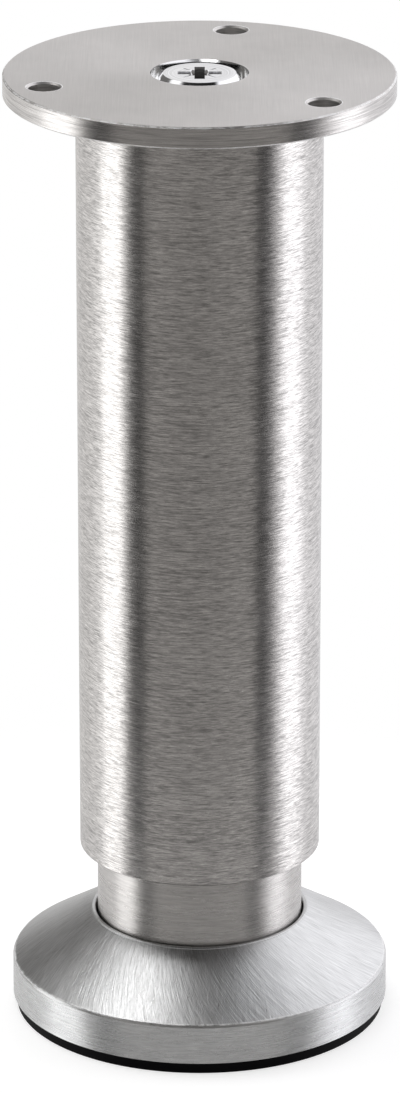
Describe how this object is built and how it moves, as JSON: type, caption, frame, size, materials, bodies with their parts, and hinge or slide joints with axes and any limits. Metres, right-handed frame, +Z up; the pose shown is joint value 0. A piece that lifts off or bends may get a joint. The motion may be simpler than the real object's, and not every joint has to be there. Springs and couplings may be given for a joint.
{
  "type": "adjustable furniture leg",
  "caption": "Round brushed steel furniture leg with a drilled mounting plate, a straight tube and a conical foot that screws in and out to level the furniture.",
  "frame": {"origin": "centre of the rubber pad's underside, on the floor, with the foot at its pictured setting", "axes": "+Z up along the leg's axis to the mounting plate, +Y through one of the three fixing holes, +X to the right seen from the front"},
  "size_m": [0.08, 0.08, 0.2045],
  "materials": {
    "satin_plate": "satin, fine brushed stainless steel",
    "brushed_tube": "stainless steel brushed round the tube",
    "brushed_sleeve": "finer brushed stainless steel",
    "brushed_foot": "spun and brushed stainless steel",
    "plated_screw": "bright plated, turned face",
    "zinc_steel": "zinc plated steel",
    "cast_alloy": "plain casting",
    "nylon": "matt black nylon",
    "rubber": "matt black rubber"
  },
  "bodies": {
    "leg": {"mounting_plate": "satin_plate", "plate_screw": "plated_screw", "top_plug": "cast_alloy", "outer_tube": "brushed_tube", "nut_carrier": "cast_alloy", "captive_nut": "zinc_steel", "guide_ring": "nylon"},
    "sleeve": {"sleeve_tube": "brushed_sleeve", "sleeve_collar": "nylon"},
    "foot": {"foot_dish": "brushed_foot", "foot_core": "nylon", "spindle_bolt": "zinc_steel", "core_washer": "zinc_steel", "lock_nut": "zinc_steel", "stop_clip": "zinc_steel", "rubber_pad": "rubber"}
  },
  "joints": [
    {"name": "height_adjust", "type": "slide", "parent": "leg", "child": "sleeve", "axis": [0, 0, -1], "range_m": [-0.0105, 0.0075]},
    {"name": "foot_turn", "type": "hinge", "parent": "sleeve", "child": "foot", "pos_m": [0, 0, 0], "axis": [0, 0, -1], "range_deg": [-2520, 1800]}
  ],
  "couplings": [
    {"joint": "height_adjust", "follows": "foot_turn", "m_per_rad": 0.00023873}
  ]
}
